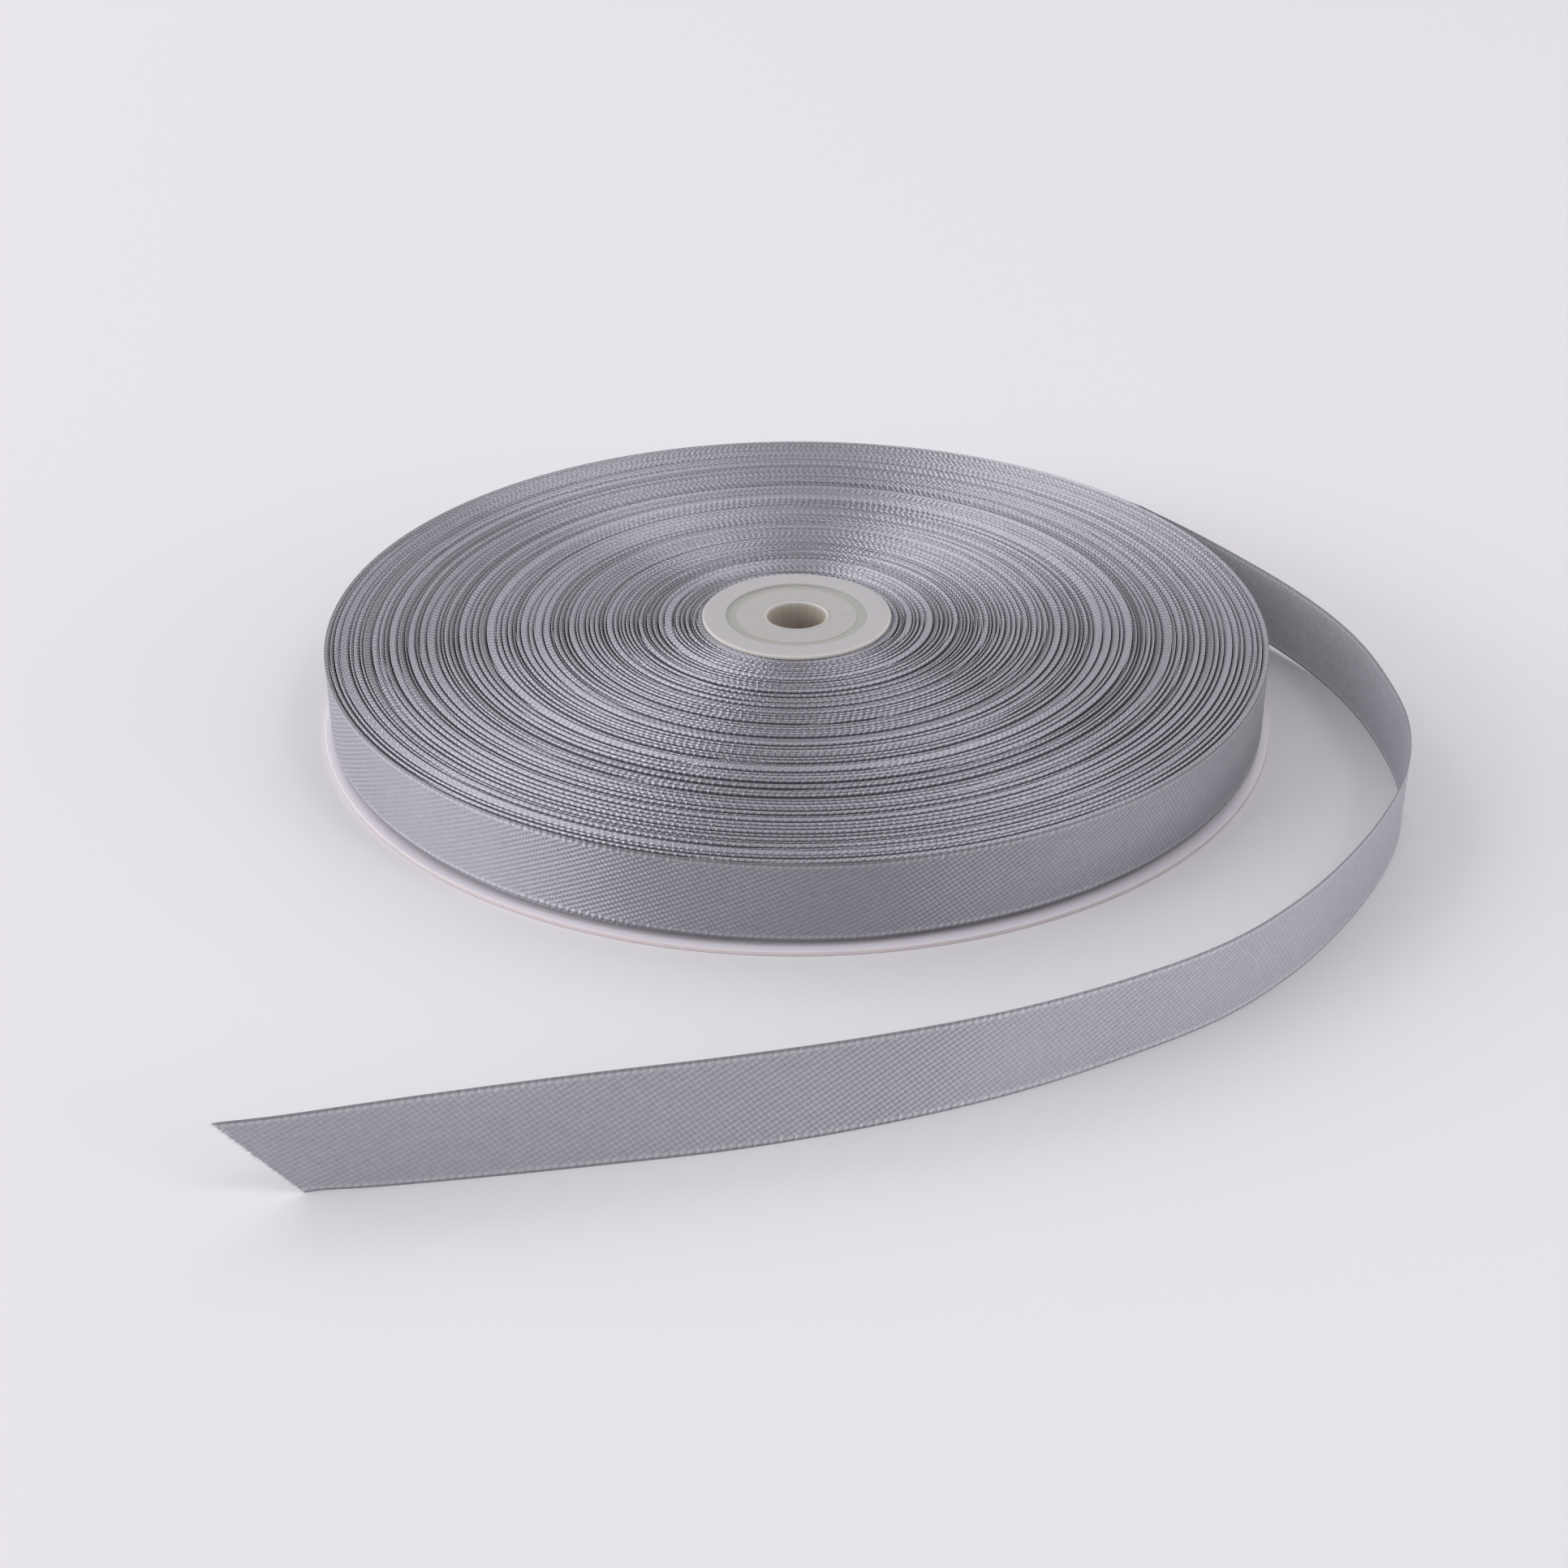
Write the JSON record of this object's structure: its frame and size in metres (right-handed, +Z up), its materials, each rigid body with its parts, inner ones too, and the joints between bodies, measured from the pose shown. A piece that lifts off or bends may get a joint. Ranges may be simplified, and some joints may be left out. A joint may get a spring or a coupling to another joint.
{
  "type": "ribbon reel",
  "caption": "Reel of narrow grey satin ribbon wound on a small white plastic hub over one thin white side disc, lying flat with its free end curving out in front on edge.",
  "frame": {"origin": "on the reel's axis, in the plane that the reel stands on", "axes": "+Z up along the reel's axis, from the side disc towards the open side of the winding; -Y towards the side that the free end passes in front of; +X towards the side where the free end turns back"},
  "size_m": [0.1735, 0.2114, 0.0154],
  "materials": {
    "hub_plastic": "satin",
    "disc_plastic": "satin",
    "tape": "satin",
    "ribbon": "satin"
  },
  "bodies": {
    "reel": {"hub_upper": "hub_plastic", "hub_lower": "hub_plastic", "start_tape": "tape", "ribbon_pack": "ribbon", "ribbon_tail": "ribbon"},
    "side_disc": {"base_disc": "disc_plastic"}
  },
  "joints": [
    {"name": "disc_spin", "type": "hinge", "parent": "reel", "child": "side_disc", "pos_m": [0, 0, 0], "axis": [0, 0, 1], "continuous": true}
  ]
}
